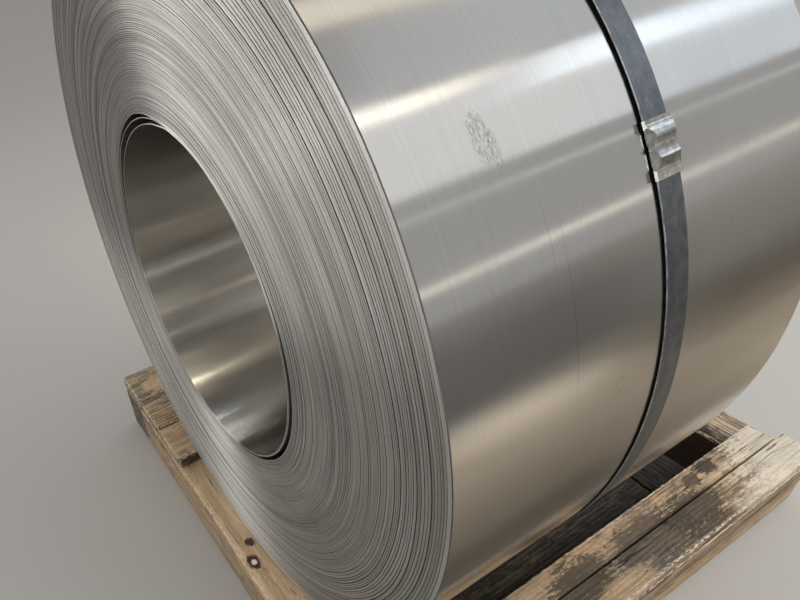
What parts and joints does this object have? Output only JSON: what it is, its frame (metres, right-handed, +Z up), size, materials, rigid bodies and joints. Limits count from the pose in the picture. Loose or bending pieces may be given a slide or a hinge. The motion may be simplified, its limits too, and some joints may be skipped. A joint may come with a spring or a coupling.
{
  "type": "steel coil",
  "caption": "Coil of bright steel strip lying with its axis level, strapped once round its outside, on a worn timber skid.",
  "frame": {"origin": "on the floor under the middle of the skid", "axes": "+Y along the coil's axis from its near end to its far end, +Z up, +X to the right seen from the near end"},
  "size_m": [1.036, 1.02, 1.1374],
  "materials": {
    "coil_steel": "satin",
    "strap_steel": "satin",
    "seal_steel": "satin",
    "weathered_timber": "matte"
  },
  "bodies": {
    "root": {"coil": "coil_steel", "strap": "strap_steel", "strap_seal": "seal_steel", "runner_left": "weathered_timber", "runner_right": "weathered_timber", "cross_beam_1": "weathered_timber", "cross_beam_2": "weathered_timber", "cross_beam_3": "weathered_timber", "cross_beam_4": "weathered_timber", "plank_left_1": "weathered_timber", "plank_left_2": "weathered_timber", "plank_left_3": "weathered_timber", "plank_right_1": "weathered_timber", "plank_right_2": "weathered_timber", "bed_bearer_front": "weathered_timber", "bed_bearer_back": "weathered_timber", "bed_board_1": "weathered_timber", "bed_board_2": "weathered_timber", "bed_board_3": "weathered_timber", "bed_board_4": "weathered_timber", "bed_board_5": "weathered_timber"}
  },
  "joints": []
}
